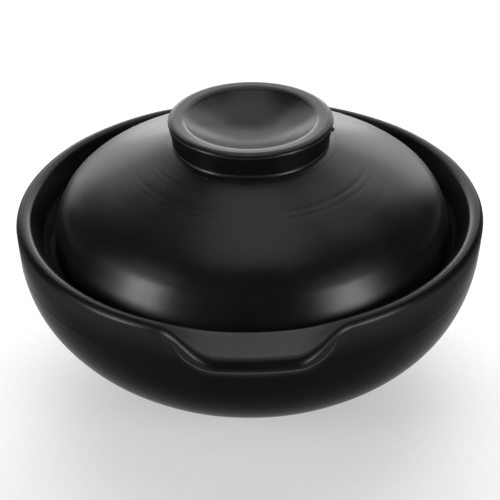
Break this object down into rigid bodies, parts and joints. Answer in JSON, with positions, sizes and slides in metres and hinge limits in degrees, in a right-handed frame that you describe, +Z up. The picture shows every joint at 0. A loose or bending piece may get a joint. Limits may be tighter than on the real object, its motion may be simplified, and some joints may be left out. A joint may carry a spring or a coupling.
{
  "type": "donabe clay pot",
  "caption": "Round black-glazed clay cooking pot with a domed loose lid, a wide dished lid knob and lugs pulled out of the rim.",
  "frame": {"origin": "centre of the foot ring's resting plane, on the axis of the pot", "axes": "+Z up along the axis of the pot, -Y to the front lug, +Y to the back lug, +X to the viewer's right when the front lug faces the viewer"},
  "size_m": [0.22, 0.2416, 0.1255],
  "materials": {
    "pot_glaze": "satin black glaze",
    "lid_glaze": "satin black glaze",
    "knob_glaze": "satin black glaze"
  },
  "bodies": {
    "pot": {"pot_body": "pot_glaze"},
    "lid_with_knob": {"lid": "lid_glaze", "lid_knob": "knob_glaze"}
  },
  "joints": [
    {"name": "lid_lift", "type": "slide", "parent": "pot", "child": "lid_with_knob", "axis": [0, 0, 1], "range_m": [0, 0.15]}
  ]
}
